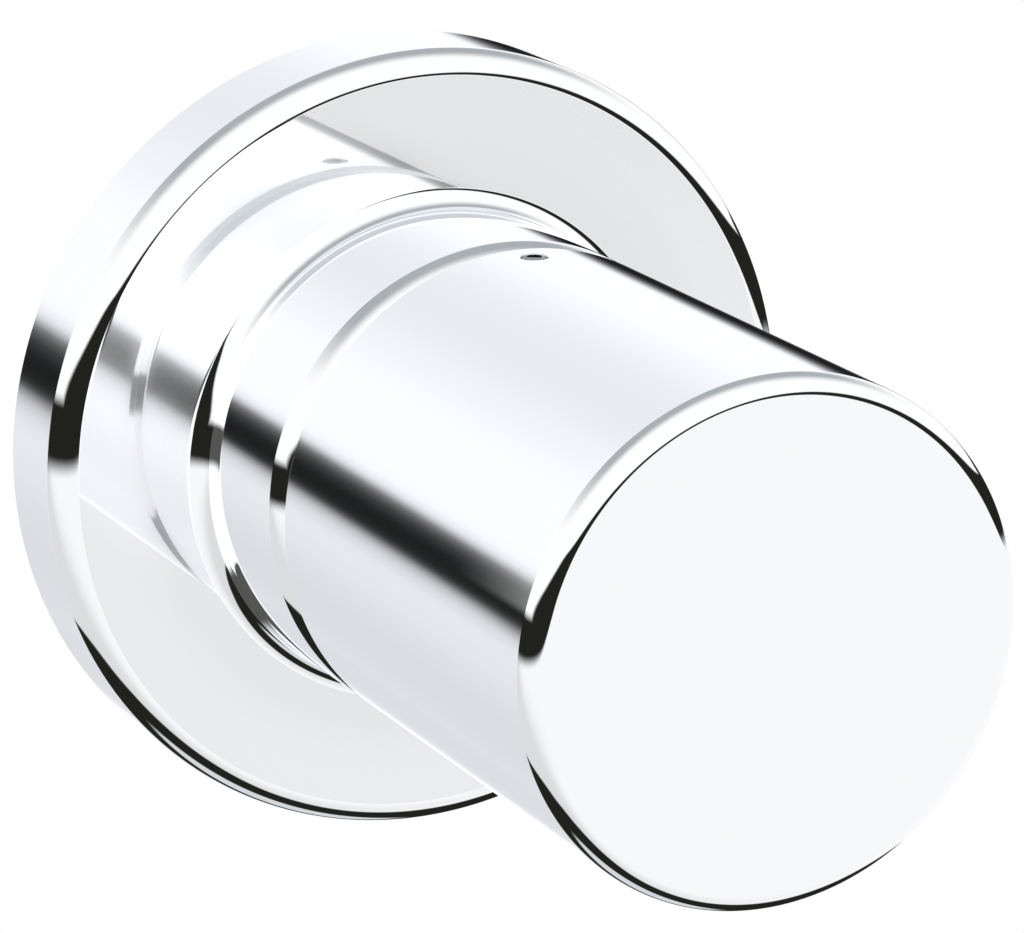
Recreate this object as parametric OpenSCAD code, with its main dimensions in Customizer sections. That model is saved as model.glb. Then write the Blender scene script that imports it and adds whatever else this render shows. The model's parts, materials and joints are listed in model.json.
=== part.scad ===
// Concealed stop valve: chrome cylinder handle, sleeve and wall rosette over an in-wall brass valve.
// Modelled with the handle's axis along -Y, the finished wall at y = 0 and the pipes along Z.
// Every piece is drawn about the handle's axis, with z as the distance from the wall into the room.

/* [Rosette] */
// Outer diameter of the wall rosette
rosette_d = 75; // [70:1:84]
// Depth of the rosette from the wall to its face
rosette_depth = 11.2; // [9:0.1:14]
// Radius of the rosette's front edge
rosette_edge_r = 2.3; // [1.6:0.1:3.5]
// Sheet thickness of the rosette
rosette_wall = 1.2; // [0.8:0.1:1.5]
// Width of the foam seal behind the rosette's rim
seal_w = 2.4; // [1.5:0.1:4]
// Depth of the foam seal
seal_depth = 4; // [2:0.5:6]

/* [Cover sleeve] */
// Outer diameter of the cover sleeve
sleeve_d = 46; // [44:0.5:50]
// Length of the sleeve in front of the rosette
sleeve_len = 18.1; // [15:0.1:26]
// Radius of the sleeve's rounded front edge
sleeve_front_r = 3; // [1.5:0.1:3.4]
// Radius of the hollow curve where the sleeve meets the rosette
sleeve_flare_r = 1.7; // [1:0.1:3]
// Wall thickness of the sleeve
sleeve_wall = 2; // [1.5:0.1:2.6]
// Length of the threaded hub behind the rosette's face
sleeve_hub_len = 6; // [4:0.5:8]

/* [Handle] */
// Outer diameter of the handle
handle_d = 46; // [44:0.5:50]
// Length of the handle
handle_len = 49.1; // [44:0.1:60]
// Radius of the handle's front edge
handle_edge_r = 1.7; // [1:0.1:3]
// Edge break at the handle's rear rim
handle_rear_break = 0.4; // [0.2:0.1:0.8]
// Wall thickness of the handle shell
handle_wall = 2.5; // [2:0.1:3]
// Running gap between the sleeve and the handle
handle_gap = 0.3; // [0.2:0.05:0.6]
// Distance of the grub screw behind the handle's rear rim
grub_inset = 3.5; // [2.4:0.1:5]
// Thread diameter of the grub screw
grub_d = 2.5; // [2:0.5:4]
// Length of the grub screw
grub_len = 3.8; // [3:0.1:5]
// Across-flats size of the grub screw's socket
grub_key = 1.3; // [1.2:0.1:1.6]
// Length of the plastic insert inside the handle
insert_len = 15; // [12:0.5:20]
// Ring thickness of the insert
insert_ring = 2; // [1.5:0.1:3]
// Diameter of the insert's hub
insert_hub_d = 16; // [14:0.5:20]

/* [Headwork] */
// Distance from the wall to the valve seat
seat_depth = 41.5; // [38:0.5:60]
// Turns of the handle from shut to fully open
handle_turns = 2.5; // [2:0.25:2.5]
// Pitch of the spindle's left-hand thread
spindle_pitch = 2; // [1.6:0.1:2]
// Diameter of the spindle's journal
spindle_d = 10; // [9:0.5:11]
// Diameter of the spindle's left-hand thread
spindle_thread_d = 9; // [8:0.5:9]
// Outside diameter of the splined spindle end
spline_d = 8; // [7:0.5:8]
// Number of spline teeth
spline_teeth = 20; // [16:1:24]
// Outside diameter of the threaded barrel of the housing
barrel_d = 24; // [22:0.5:26]
// Across-flats size of the housing's hexagon
housing_af = 27; // [26:0.5:28]
// Across-flats size of the plunger's hexagon
plunger_af = 14; // [13.6:0.1:14.2]
// Diameter of the plunger's sealing land
land_d = 16.2; // [16:0.1:16.8]
// Diameter of the rubber seat washer
washer_d = 16.6; // [16:0.1:17]
// Thickness of the rubber seat washer
washer_t = 3.5; // [3:0.1:4]

/* [Valve body] */
// Distance from the seat to the pipe axis
pipe_below_seat = 2.5; // [2:0.5:3.5]
// Length of the body between its two port faces
body_len = 66; // [64:1:80]
// Across-flats size of the octagonal port collars
port_af = 27; // [26:0.5:30]
// Depth of the port threads
port_depth = 14; // [12:0.5:15]
// Diameter of the port bores, at the thread's crests
port_bore_d = 18.63; // [18.6:0.01:18.7]
// Diameter of the body's neck thread
neck_bore_d = 20.96; // [20.9:0.01:21]
// Wall thickness of the casting
casting_wall = 3; // [2.5:0.5:4]
// Diameter of the hole through the seat
seat_bore_d = 13; // [12:0.5:13.5]

/* [Hidden] */
$fn = 96;

// Clearances between pieces
run_gap = 0.05;
thread_gap = 0.08;
land_gap = 0.1;
slip_gap = 0.2;
key_gap = 0.15;
cord_squeeze = 0.02;
spare = 1;

// Distances from the wall, positive into the room
rosette_face = rosette_depth;
sleeve_front = rosette_face + sleeve_len;
handle_rear = sleeve_front + handle_gap;
grub_at = handle_rear + grub_inset;
seat_at = -seat_depth;
pipe_at = seat_at - pipe_below_seat;

// Headwork, all measured from the seat
plunger_lift = handle_turns * spindle_pitch;
washer_back = seat_at + washer_t;
flange_t = 1.8;
flange_over = 0.6;
flange_d = washer_d + flange_over;
land_from = washer_back + flange_t;
land_len = 8.2;
hex_from = land_from + land_len;
hex_len = 7.5;
plunger_seal_inset = 1.5;
plate_t = 0.8;
plate_inset = 1.5;
washer_screw_reach = 2.6;
slot_head_d = 7;
slot_head_h = 2.2;
slot_w = 1;
slot_h = 1;
plunger_top = hex_from + hex_len;
housing_from_seat = 10.5;
housing_rear = seat_at + housing_from_seat;
housing_thread_len = 10;
gasket_t = 1;
gasket_inset = 0.3;
hexagon_from = housing_rear + housing_thread_len;
hexagon_len = 6;
corner_break = 0.6;
neck_face = hexagon_from - gasket_t;
bore_end = hex_from + plunger_lift + slip_gap;
end_gap = 0.3;
hex_chamber_end = plunger_top + plunger_lift + end_gap;
collar_from = hex_chamber_end;
collar_len = 2.2;
thrust_t = 0.8;
shoulder_at = collar_from + collar_len + thrust_t + run_gap;
seal_length = 7.15;
recess_depth = 3;
barrel_front = shoulder_at + seal_length + recess_depth;
recess_d = 16;
recess_at = barrel_front - recess_depth;
circlip_t = 0.8;
circlip_depth = 0.8;
circlip_h = 1.7;
circlip_opening = 4;
circlip_at = recess_at + run_gap;
spindle_reach = 0.7;
spindle_end = hex_from - spindle_reach;
collar_d = 13.4;
collar_chamber_d = collar_d + 2 * land_gap;
groove_w = 1.5;
seal_share = 0.3;
spline_ahead = 2.5;
spline_from = barrel_front + spline_ahead;
spline_len = 8.5;
spline_front = spline_from + spline_len;
tooth_h = 0.4;
spline_run_out = 1;

// Extension, insert and their screw
extension_d = 12;
extension_inset = 0.5;
extension_rear = spline_from + extension_inset;
insert_spline_d = 10;
insert_inset = 0.6;
insert_rear = handle_rear + insert_inset;
insert_front = insert_rear + insert_len;
hub_inset = 5.8;
hub_rear = insert_rear + hub_inset;
hub_proud = 1;
hub_front = insert_front + hub_proud;
nose_inset = 0.5;
web_t = 3;
web_inset = 2;
web_rear = insert_front - web_t - web_inset;
insert_ribs = 6;
rib_t = 1.6;
key_w = 2.4;
key_h = 1.2;
key_count = 4;
key_root = 0.5;
screw_d = 4;
screw_head_d = 7.6;
screw_head_h = 2.8;
screw_head_r = 1;
screw_key = 3;
screw_key_floor = 0.8;
screw_reach = 2;
screw_tip = recess_at - screw_reach;
grub_sink = 0.5;
grub_key_depth = 1.6;

// Threaded sleeve and rosette centre
tube_wall = 3;
tube_d = barrel_d + 2 * tube_wall;
tube_hexagon_gap = 1;
tube_rear = hexagon_from + hexagon_len + tube_hexagon_gap;
tube_ahead = 3;
tube_front = rosette_face + tube_ahead;
tube_bore_d = 20;
barrel_end_gap = 1;
tube_slot_w = 3;
tube_slot_h = 2;
spigot_d = sleeve_d - 2 * sleeve_wall;
hub_back = rosette_face - sleeve_hub_len;
foot_t = 1.8;
front_flange_t = 2.5;
ring_cord = 1.1;
ring_inset = 0.6;
ring_mean_r = sleeve_d / 2 - ring_inset;
glide_t = 0.5;
glide_wall = 1.5;
glide_side_gap = 1.15;
glide_lip_r = handle_d / 2 - handle_wall - glide_side_gap;
sleeve_rim_w = 6;
sleeve_opening_d = sleeve_d - 2 * sleeve_rim_w;
glide_r = sleeve_opening_d / 2 - run_gap;

// Valve body
chamber_r = 12.5;
chamber_shelf = 2;
chamber_top = housing_rear - chamber_shelf;
passage_r = 7.5;
bowl_extra = 0.5;
neck_extra = 1.2;
run_extra = 1.5;
bowl_r = chamber_r + casting_wall + bowl_extra;
neck_r = neck_bore_d / 2 + casting_wall + neck_extra;
run_r = passage_r + casting_wall + run_extra;
neck_collar_len = 7;
neck_rim = 0.6;
neck_collar_over = 0.5;
port_rim = 2;
port_collar_over = 1;
seat_ring_r = 9;
seat_bead_h = 1;
seat_bead_w = 1.4;
seat_floor = seat_at - seat_bead_h;
seat_ring_h = 4.5;
under_r = 7.5;
under_depth = 14;
slant_r = 4.2;
slant_lead = 1.5;
slant_drop = 3;
slant_reach = 5;
slant_rise = 0.5;
floor_extra = 3.5;
bowl_edge_r = 5;
way_end = chamber_r + casting_wall;
slant_from = [-way_end - slant_lead, pipe_at - slant_drop];
slant_to = [-slant_reach, seat_floor - under_depth + slant_rise];
bowl_rear = seat_floor - under_depth - casting_wall - floor_extra;

// Turns a piece drawn with z into the room to the part's own frame
module place() {
    rotate([90, 0, 0]) children();
}

// Round bar or disc between two stations on the axis
module bar(d, from, to) {
    translate([0, 0, from]) cylinder(d = d, h = to - from);
}

// Hexagonal bar between two stations, by its across-flats size, with a corner on the x axis
module hex_bar(af, from, to) {
    translate([0, 0, from]) cylinder(d = af / cos(30), h = to - from, $fn = 6);
}

// Octagonal bar by its across-flats size, with a flat to the front
module oct_bar(af, from, to) {
    translate([0, 0, from]) rotate([0, 0, 22.5]) cylinder(d = af / cos(22.5), h = to - from, $fn = 8);
}

// Corner rounding: the square corner piece left outside an arc of radius r, centred at [x, y]
module convex_cut(x, y, r) {
    difference() {
        translate([x, y]) square(r + spare);
        translate([x, y]) circle(r);
    }
}

// Plate profile: radius r, from z = 0 to h, its front outer corner rounded by edge
module rounded_disc_profile(r, h, edge) {
    difference() {
        square([r, h]);
        convex_cut(r - edge, h - edge, edge);
    }
}

// Spline outline: teeth as a star with a tip and a root radius
function spline_points(tip_r, root_r, teeth) = [
    for (i = [0:teeth * 4 - 1])
        let (step = 360 / (teeth * 4), radius = (i % 4 < 2) ? tip_r : root_r)
        [radius * cos(step * i), radius * sin(step * i)]
];

// Splined bar; grow widens it into the matching socket
module spline_bar(d, from, to, grow = 0) {
    translate([0, 0, from])
        linear_extrude(to - from)
            polygon(spline_points(d / 2 + grow, d / 2 - tooth_h + grow, spline_teeth));
}

// Ring of round section on the axis
module o_ring(mean_r, cord_d, at) {
    translate([0, 0, at])
        rotate_extrude() translate([mean_r, 0]) circle(d = cord_d);
}

// Pressed brass dish with a rounded front edge, a flat face and a round hole for the sleeve
module rosette() {
    color("gainsboro") place() difference() {
        rotate_extrude() difference() {
            rounded_disc_profile(rosette_d / 2, rosette_depth, rosette_edge_r);
            translate([0, -spare])
                rounded_disc_profile(rosette_d / 2 - rosette_wall, rosette_depth - rosette_wall + spare,
                                     rosette_edge_r - rosette_wall);
        }
        bar(spigot_d + 2 * slip_gap, 0, rosette_depth + spare);
    }
}

// Soft ring inside the rosette's rim that seals it on the tiles
module rosette_seal() {
    outer = rosette_d - 2 * rosette_wall - 2 * run_gap;
    color("dimgray") place() difference() {
        bar(outer, 0, seal_depth);
        bar(outer - 2 * seal_w, -spare, seal_depth + spare);
    }
}

// Turned sleeve: threaded hub behind the rosette, flared foot, tube and rounded front flange
module cover_sleeve() {
    r = sleeve_d / 2;
    foot = rosette_face;
    color("gainsboro") place() difference() {
        rotate_extrude() difference() {
            union() {
                translate([0, foot]) rounded_disc_profile(r, sleeve_len, sleeve_front_r);
                translate([0, foot]) difference() {
                    square([r + sleeve_flare_r, sleeve_flare_r]);
                    translate([r + sleeve_flare_r, sleeve_flare_r]) circle(sleeve_flare_r);
                }
                translate([0, hub_back]) square([spigot_d / 2, foot - hub_back]);
            }
            translate([0, foot + foot_t])
                square([r - sleeve_wall, sleeve_len - foot_t - front_flange_t]);
            translate([ring_mean_r - ring_cord / 2 - land_gap, foot - spare])
                square([ring_cord + 2 * land_gap, ring_cord + spare]);
        }
        bar(tube_d + 2 * thread_gap, hub_back - spare, foot + foot_t + spare);
        bar(sleeve_opening_d, foot, sleeve_front + spare);
    }
}

// Small seal in the sleeve's foot, pressed on the rosette's face
module sleeve_o_ring() {
    color("black") place() o_ring(ring_mean_r, ring_cord - cord_squeeze, rosette_face + ring_cord / 2);
}

// Plastic ring clipped in the sleeve's front opening, which the handle's insert runs against
module glide_ring() {
    color("whitesmoke") place() difference() {
        union() {
            bar(2 * glide_r, sleeve_front - front_flange_t, sleeve_front);
            bar(2 * glide_lip_r, sleeve_front, sleeve_front + glide_t);
        }
        bar(2 * (glide_r - glide_wall), sleeve_front - front_flange_t - spare,
            sleeve_front + glide_t + spare);
    }
}

// Brass tube that screws on the housing's barrel and carries the cover sleeve
module threaded_sleeve() {
    color("goldenrod") place() difference() {
        bar(tube_d, tube_rear, tube_front);
        bar(barrel_d + 2 * thread_gap, tube_rear - spare, barrel_front + barrel_end_gap);
        bar(tube_bore_d, tube_rear, tube_front + spare);
        translate([-tube_d, -tube_slot_w / 2, tube_front - tube_slot_h])
            cube([2 * tube_d, tube_slot_w, tube_slot_h + spare]);
    }
}

// Turned brass housing: rear thread, hexagon, threaded barrel and the plunger's stepped bore
module headwork_housing() {
    color("goldenrod") place() difference() {
        union() {
            bar(neck_bore_d - 2 * thread_gap, housing_rear, hexagon_from);
            intersection() {
                hex_bar(housing_af, hexagon_from, hexagon_from + hexagon_len);
                bar(housing_af / cos(30) - 2 * corner_break, hexagon_from - spare,
                    hexagon_from + hexagon_len + spare);
            }
            bar(barrel_d, hexagon_from, barrel_front);
        }
        bar(land_d + 2 * land_gap, housing_rear - spare, bore_end);
        hex_bar(plunger_af + 2 * run_gap, housing_rear, hex_chamber_end);
        bar(collar_chamber_d, hex_chamber_end - spare, shoulder_at);
        bar(spindle_d + 2 * run_gap, housing_rear, barrel_front + spare);
        bar(recess_d, recess_at, barrel_front + spare);
    }
}

// Flat gasket under the housing's hexagon
module headwork_gasket() {
    color("firebrick") place() difference() {
        bar(housing_af - 2 * gasket_inset, neck_face, hexagon_from);
        bar(neck_bore_d + 2 * land_gap, neck_face - spare, hexagon_from + spare);
    }
}

// Brass spindle: left-hand thread, thrust collar, sealed journal and splined end
module headwork_spindle() {
    groove_r = spindle_d / 2 - ring_cord;
    color("goldenrod") place() difference() {
        union() {
            bar(spindle_thread_d, spindle_end, collar_from);
            bar(collar_d, collar_from, collar_from + collar_len);
            bar(spindle_d, collar_from, spline_from - spline_run_out);
            bar(spline_d - 2 * tooth_h, spline_from - spare, spline_front);
            spline_bar(spline_d, spline_from, spline_front);
        }
        for (at = seal_stations()) difference() {
            bar(spindle_d + spare, at - groove_w / 2, at + groove_w / 2);
            bar(2 * groove_r, at - spare, at + spare);
        }
        difference() {
            bar(spindle_d + spare, circlip_at - cord_squeeze, circlip_at + circlip_t + cord_squeeze);
            bar(spindle_d - 2 * circlip_depth, circlip_at - spare, circlip_at + circlip_t + spare);
        }
        bar(screw_d + 2 * thread_gap, screw_tip - spare, spline_front + spare);
    }
}

// Stations of the two spindle seals, between the thrust shoulder and the front recess
function seal_stations() = [
    shoulder_at + (recess_at - shoulder_at) * seal_share,
    shoulder_at + (recess_at - shoulder_at) * (1 - seal_share)
];

// Two seals on the spindle's journal
module spindle_o_rings() {
    color("black") place()
        for (at = seal_stations()) o_ring((spindle_d - ring_cord) / 2, ring_cord - 2 * cord_squeeze, at);
}

// Low-friction washer between the spindle's collar and the housing's shoulder
module thrust_washer() {
    color("whitesmoke") place() difference() {
        bar(collar_d, collar_from + collar_len, collar_from + collar_len + thrust_t);
        bar(spindle_d + 2 * run_gap, collar_from, shoulder_at);
    }
}

// Open spring clip in the spindle's groove, in front of the housing's recess
module spindle_circlip() {
    color("silver") place() difference() {
        bar(spindle_d + 2 * circlip_h, circlip_at, circlip_at + circlip_t);
        bar(spindle_d - 2 * circlip_depth + 2 * run_gap, circlip_at - spare,
            circlip_at + circlip_t + spare);
        translate([-circlip_opening / 2, 0, circlip_at - spare])
            cube([circlip_opening, spindle_d, circlip_t + 2 * spare]);
    }
}

// Extension with a splined socket for the spindle and a splined nose for the handle's insert
module spindle_extension() {
    color("goldenrod") place() difference() {
        union() {
            bar(extension_d, extension_rear, hub_rear);
            spline_bar(insert_spline_d, hub_rear - spare, hub_front - nose_inset);
        }
        spline_bar(spline_d, extension_rear - spare, spline_front + end_gap, run_gap);
        bar(screw_d + 2 * slip_gap, extension_rear, hub_front + spare);
    }
}

// Moulded insert: keyed ring in the handle, web, ribs and a splined hub on the extension
module handle_insert() {
    ring_r = handle_d / 2 - handle_wall - key_gap;
    rib_len = ring_r - insert_ring / 2 - insert_hub_d / 2 + spare;
    color("whitesmoke") place() difference() {
        union() {
            difference() {
                bar(2 * ring_r, insert_rear, insert_front);
                bar(2 * (ring_r - insert_ring), insert_rear - spare, insert_front + spare);
            }
            bar(2 * (ring_r - insert_ring / 2), web_rear, web_rear + web_t);
            bar(insert_hub_d, hub_rear, hub_front);
            for (i = [0:insert_ribs - 1]) rotate([0, 0, 360 / insert_ribs * (i + 0.5)])
                translate([insert_hub_d / 2 - spare, -rib_t / 2, hub_rear])
                    cube([rib_len, rib_t, web_rear - hub_rear + spare]);
        }
        spline_bar(insert_spline_d, hub_rear - spare, hub_front + spare, run_gap);
        handle_keys(key_gap);
        grub_hole(grub_d + 2 * land_gap);
    }
}

// Four keys on the handle's inner wall; grow widens them into the insert's slots
module handle_keys(grow = 0) {
    inner_r = handle_d / 2 - handle_wall;
    for (i = [0:key_count - 1]) rotate([0, 0, 360 / key_count * (i + 0.5)])
        translate([inner_r - key_h - grow, -key_w / 2 - grow, insert_rear - (grow > 0 ? spare : 0)])
            cube([key_h + key_root + grow, key_w + 2 * grow, insert_len + (grow > 0 ? 2 * spare : 0)]);
}

// Radial hole at the top of the handle for its grub screw
module grub_hole(d) {
    translate([0, handle_d / 2 - handle_wall - insert_ring - spare, grub_at])
        rotate([-90, 0, 0]) cylinder(d = d, h = handle_wall + insert_ring + 2 * spare);
}

// Long screw through the insert and the extension into the spindle
module clamp_screw() {
    color("silver") place() difference() {
        union() {
            bar(screw_d, screw_tip, hub_front);
            translate([0, 0, hub_front]) rotate_extrude()
                rounded_disc_profile(screw_head_d / 2, screw_head_h, screw_head_r);
        }
        hex_bar(screw_key, hub_front + screw_key_floor, hub_front + screw_head_h + spare);
    }
}

// Hollow handle: closed front, rounded front edge, keyed inner wall and the grub screw's hole
module handle_shell() {
    r = handle_d / 2;
    color("gainsboro") place() difference() {
        union() {
            translate([0, 0, handle_rear]) rotate_extrude() difference() {
                rounded_disc_profile(r, handle_len, handle_edge_r);
                square([r - handle_wall, handle_len - handle_wall]);
                translate([r, 0]) rotate(45)
                    square(handle_rear_break * sqrt(2), center = true);
            }
            handle_keys();
        }
        grub_hole(grub_d);
    }
}

// Headless screw with a hexagon socket, sunk just below the handle's surface
module grub_screw() {
    color("dimgray") place() translate([0, handle_d / 2 - grub_sink, grub_at])
    rotate([90, 0, 0]) difference() {
        cylinder(d = grub_d - 2 * run_gap, h = grub_len);
        translate([0, 0, -spare])
            cylinder(d = grub_key / cos(30), h = grub_key_depth + spare, $fn = 6);
    }
}

// Brass plunger: flange over the washer, sealed round land and the hexagon that stops it turning
module plunger() {
    color("goldenrod") place() difference() {
        union() {
            bar(flange_d, washer_back, land_from);
            bar(land_d, land_from, hex_from);
            hex_bar(plunger_af, hex_from, plunger_top);
        }
        difference() {
            bar(land_d + spare, plunger_seal_at() - groove_w / 2, plunger_seal_at() + groove_w / 2);
            bar(land_d - 2 * ring_cord, plunger_seal_at() - spare, plunger_seal_at() + spare);
        }
        bar(spindle_thread_d + 2 * run_gap, spindle_end - plunger_lift - end_gap, plunger_top + spare);
        bar(screw_d + 2 * thread_gap, washer_back - spare, washer_back + washer_screw_reach + end_gap);
    }
}

// Station of the plunger's seal, near the top of its land
function plunger_seal_at() = hex_from - plunger_seal_inset;

// Seal on the plunger's land
module plunger_o_ring() {
    color("black") place()
        o_ring((land_d - ring_cord) / 2, ring_cord - 2 * cord_squeeze, plunger_seal_at());
}

// Rubber washer that closes on the seat
module seat_washer() {
    color("black") place() difference() {
        bar(washer_d, seat_at, washer_back);
        bar(screw_d + 2 * land_gap, seat_at - spare, washer_back + spare);
    }
}

// Dished plate that holds the rubber washer
module washer_plate() {
    color("silver") place() difference() {
        bar(seat_bore_d - 2 * plate_inset, seat_at - plate_t, seat_at);
        bar(screw_d + 2 * land_gap, seat_at - spare, seat_at + spare);
    }
}

// Slotted screw through the plate and the washer into the plunger
module washer_screw() {
    head_back = seat_at - plate_t;
    color("silver") place() difference() {
        union() {
            bar(screw_d, head_back, washer_back + washer_screw_reach);
            bar(slot_head_d, head_back - slot_head_h, head_back);
        }
        translate([-slot_head_d / 2 - spare, -slot_w / 2, head_back - slot_head_h - spare])
            cube([slot_head_d + 2 * spare, slot_w, slot_h + spare]);
    }
}

// Stainless seat pressed in the body's partition, with the raised bead that the washer meets
module seat_ring() {
    color("silver") place() difference() {
        union() {
            bar(2 * seat_ring_r - 2 * cord_squeeze, seat_floor - seat_ring_h, seat_floor);
            bar(seat_bore_d + 2 * seat_bead_w, seat_floor - spare, seat_at);
        }
        bar(seat_bore_d, seat_floor - seat_ring_h - spare, seat_at + spare);
    }
}

// Bar along the pipes, from y = from to y = to
module pipe_bar(d, from, to) {
    translate([0, to, pipe_at]) rotate([90, 0, 0]) cylinder(d = d, h = to - from);
}

// Slanted bore in the plane of the pipes, between two points given as [y, z]
module slant_bore(r, from, to) {
    run = to - from;
    translate([0, from.x, from.y]) rotate([atan2(-run.x, run.y), 0, 0]) cylinder(r = r, h = norm(run));
}

// Outside of the casting: bowl, neck, run and the two octagonal collars
module body_outside() {
    half = body_len / 2;
    bowl_front = chamber_top + casting_wall;
    translate([0, 0, bowl_front]) mirror([0, 0, 1])
        rotate_extrude() rounded_disc_profile(bowl_r, bowl_front - bowl_rear, bowl_edge_r);
    bar(2 * neck_r, chamber_top, neck_face);
    oct_bar(2 * (neck_r + neck_collar_over), neck_face - neck_collar_len, neck_face - neck_rim);
    pipe_bar(2 * run_r, -half + port_rim, half - port_rim);
    for (side = [-1, 1])
        translate([0, side * (half - port_depth / 2 - port_collar_over), pipe_at]) rotate([90, 0, 0])
            oct_bar(port_af, -port_depth / 2 - port_collar_over, port_depth / 2 + port_collar_over);
}

// Water ways: ports, chambers above and below the seat, and the slanted passages between them
module body_ways() {
    half = body_len / 2;
    for (side = [-1, 1]) {
        pipe_bar(port_bore_d, min(side * (half - port_depth), side * (half + spare)),
                 max(side * (half - port_depth), side * (half + spare)));
        pipe_bar(2 * passage_r, min(side * way_end, side * half), max(side * way_end, side * half));
    }
    bar(neck_bore_d, chamber_top - spare, neck_face + spare);
    bar(2 * chamber_r, seat_floor, chamber_top);
    bar(2 * seat_ring_r, seat_floor - seat_ring_h, seat_floor + spare);
    bar(2 * under_r, seat_floor - under_depth, seat_floor);
    slant_bore(slant_r, slant_from, slant_to);
    intersection() {
        pipe_bar(2 * passage_r, seat_ring_r, way_end + spare);
        bar(2 * (way_end + spare), seat_floor, chamber_top);
    }
}

// Cast brass body with the pipe run, the neck for the headwork and the partition with the seat
module valve_body() {
    color("darkgoldenrod") place() difference() {
        body_outside();
        body_ways();
    }
}

valve_body();
seat_ring();
headwork_housing();
headwork_gasket();
threaded_sleeve();
rosette();
rosette_seal();
cover_sleeve();
sleeve_o_ring();
glide_ring();
headwork_spindle();
spindle_o_rings();
thrust_washer();
spindle_circlip();
spindle_extension();
handle_insert();
clamp_screw();
handle_shell();
grub_screw();
plunger();
plunger_o_ring();
seat_washer();
washer_plate();
washer_screw();
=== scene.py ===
"""Looks of a concealed stop valve: chrome trim on the wall and the brass valve behind it."""

import json
import math

import bmesh
import bpy
import numpy as np
from bpy.props import FloatProperty, FloatVectorProperty, IntProperty, PointerProperty
from mathutils import Matrix, Vector


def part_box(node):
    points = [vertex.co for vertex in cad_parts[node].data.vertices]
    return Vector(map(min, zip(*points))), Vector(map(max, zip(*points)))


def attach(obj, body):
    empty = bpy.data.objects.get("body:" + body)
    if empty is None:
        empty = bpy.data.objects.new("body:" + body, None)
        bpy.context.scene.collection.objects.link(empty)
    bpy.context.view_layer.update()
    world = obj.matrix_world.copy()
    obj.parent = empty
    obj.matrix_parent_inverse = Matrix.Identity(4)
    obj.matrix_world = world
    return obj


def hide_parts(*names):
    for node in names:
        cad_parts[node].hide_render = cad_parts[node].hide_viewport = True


bl_info = {
    "name": "Concealed Stop Valve",
    "version": (1, 0, 0),
    "blender": (4, 5, 0),
    "location": "View3D > Sidebar > Valve",
    "description": "Builds the chrome trim and the brass body of a concealed stop valve",
    "category": "Add Mesh",
}

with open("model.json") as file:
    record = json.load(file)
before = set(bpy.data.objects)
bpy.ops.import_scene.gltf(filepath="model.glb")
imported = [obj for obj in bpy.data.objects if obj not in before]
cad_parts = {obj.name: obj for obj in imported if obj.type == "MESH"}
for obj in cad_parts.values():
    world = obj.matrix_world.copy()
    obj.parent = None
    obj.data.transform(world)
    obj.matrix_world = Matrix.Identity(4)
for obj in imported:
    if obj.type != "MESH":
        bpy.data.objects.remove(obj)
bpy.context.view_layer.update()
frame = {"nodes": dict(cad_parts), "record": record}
MM = 0.001


def turned_size(node):
    """Radius about the handle's axis and the rear and front stations of a turned node, in metres."""
    low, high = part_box(node)
    return high.x, -high.y, -low.y


ROSETTE_R, ROSETTE_REAR, ROSETTE_FRONT = turned_size("rosette")
SLEEVE_FOOT_R, SLEEVE_REAR, SLEEVE_FRONT = turned_size("cover_sleeve")
HANDLE_R, HANDLE_REAR, HANDLE_FRONT = turned_size("handle_shell")


def length(name, description, default):
    """Property for a length in metres."""
    return FloatProperty(name=name, description=description, default=default, min=0.0,
                         unit="LENGTH", subtype="DISTANCE")


def colour(name, description, default):
    """Property for a linear colour."""
    return FloatVectorProperty(name=name, description=description, default=default,
                               min=0.0, max=1.0, size=3, subtype="COLOR")


class ValveTrimSizes(bpy.types.PropertyGroup):
    """Sizes of the chrome pieces in front of the wall."""
    rosette_wall: length("Rosette sheet", "Sheet thickness of the rosette", 1.2 * MM)
    rosette_edge: length("Rosette edge", "Radius of the rosette's front edge", 2.3 * MM)
    rosette_hole: length("Rosette hole", "Radius of the rosette's centre hole", 21.2 * MM)
    sleeve_radius: length("Sleeve radius", "Outer radius of the sleeve's tube", HANDLE_R)
    sleeve_wall: length("Sleeve wall", "Wall thickness of the sleeve's tube", 2 * MM)
    sleeve_edge: length("Sleeve edge", "Radius of the sleeve's rounded front edge", 3 * MM)
    sleeve_flange: length("Sleeve flange", "Thickness of the sleeve's front flange", 2.5 * MM)
    sleeve_opening: length("Sleeve opening", "Radius of the opening in the sleeve's front", 17 * MM)
    sleeve_floor: length("Sleeve floor", "Thickness of the sleeve's floor over the hub", 1.8 * MM)
    hub_radius: length("Hub radius", "Outer radius of the hub behind the rosette", 21 * MM)
    hub_bore: length("Hub bore", "Radius of the hub's threaded bore", 15.08 * MM)
    ring_radius: length("Foot seal radius", "Mean radius of the seal groove in the sleeve's foot", 22.4 * MM)
    ring_cord: length("Foot seal cord", "Depth of the seal groove in the sleeve's foot", 1.1 * MM)
    handle_edge: length("Handle edge", "Radius of the handle's front edge", 1.7 * MM)
    handle_break: length("Handle rear break", "Edge break at the handle's rear rim", 0.4 * MM)
    handle_wall: length("Handle wall", "Wall thickness of the handle", 2.5 * MM)
    grub_radius: length("Grub hole", "Radius of the grub screw's hole on top of the handle", 1.25 * MM)
    grub_inset: length("Grub inset", "Distance of the grub screw from the handle's rear rim", 3.5 * MM)
    columns: IntProperty(name="Columns", description="Steps round each turned piece",
                         default=360, min=72, max=720)


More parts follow.
